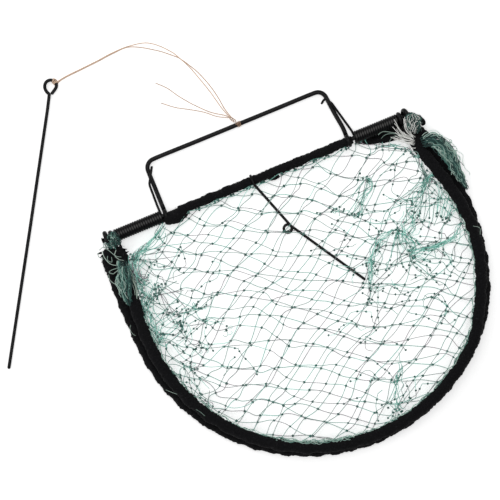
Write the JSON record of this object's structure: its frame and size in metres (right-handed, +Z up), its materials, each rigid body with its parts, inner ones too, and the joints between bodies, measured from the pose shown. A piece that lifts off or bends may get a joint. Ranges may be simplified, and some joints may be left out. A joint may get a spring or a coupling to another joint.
{
  "type": "spring bow-net trap",
  "caption": "Half-round wire bow-net trap: a sprung upper hoop closes on a fixed lower hoop with netting between, plus a rear bail, a coiled trigger needle and a corded latch rod.",
  "frame": {"origin": "on the ground under the middle of the cross bar, at the flat underside of its cloth", "axes": "+Z up; X along the cross bar; the hoops reach towards -Y and the bail towards +Y"},
  "size_m": [0.468, 0.4393, 0.022],
  "materials": {
    "painted_wire": "satin black paint on round wire",
    "spring_wire": "black oxidised spring wire with a soft shine",
    "black_cloth": "ragged black woven strip wound round the wire",
    "net_green": "thin pale green knotted netting with darker knots",
    "twine_green": "dark green twisted twine",
    "pale_twine": "pale grey-green twine",
    "white_thread": "loose white thread",
    "tan_cord": "thin tan nylon line"
  },
  "bodies": {
    "frame": {"cross_bar": "painted_wire", "lower_hoop": "painted_wire", "anchor_bail": "painted_wire", "left_spring": "spring_wire", "right_spring": "spring_wire", "lower_wrap_left": "black_cloth", "lower_wrap_right": "black_cloth", "bar_wrap_left": "black_cloth", "bar_wrap_right": "black_cloth", "bail_binding_left": "black_cloth", "cloth_flap_right": "black_cloth", "lower_net": "net_green", "lower_net_lacing": "twine_green", "cord_turns": "tan_cord"},
    "hoop": {"upper_hoop": "painted_wire", "upper_wrap_left": "black_cloth", "upper_wrap_right": "black_cloth", "upper_net": "net_green", "upper_net_lacing": "twine_green", "net_tassel_left": "twine_green", "net_tassel_right": "twine_green", "twine_lashing_left": "pale_twine", "thread_lashing_right": "white_thread"},
    "trigger": {"trigger_needle": "painted_wire"},
    "cord": {"tie_cord": "tan_cord"},
    "rod": {"latch_rod": "painted_wire"}
  },
  "joints": [
    {"name": "hoop_hinge", "type": "hinge", "parent": "frame", "child": "hoop", "pos_m": [0, 0, 0.0069], "axis": [-1, 0, 0], "range_deg": [0, 172], "stiffness_Nm_per_rad": 0.59, "springref_deg": -28.65, "deforming": ["left_spring", "right_spring", "upper_net"]},
    {"name": "trigger_swing", "type": "hinge", "parent": "frame", "child": "trigger", "pos_m": [-0.0046, 0, 0.0069], "axis": [-1, 0, 0], "range_deg": [0, 90]},
    {"name": "cord_swing", "type": "hinge", "parent": "frame", "child": "cord", "pos_m": [0.003, 0.0539, 0.0033], "axis": [0, 0, 1], "range_deg": [-60, 5]},
    {"name": "rod_swing", "type": "hinge", "parent": "cord", "child": "rod", "pos_m": [-0.148, 0.155, 0.0028], "axis": [0, 0, 1], "range_deg": [-150, 20]}
  ]
}
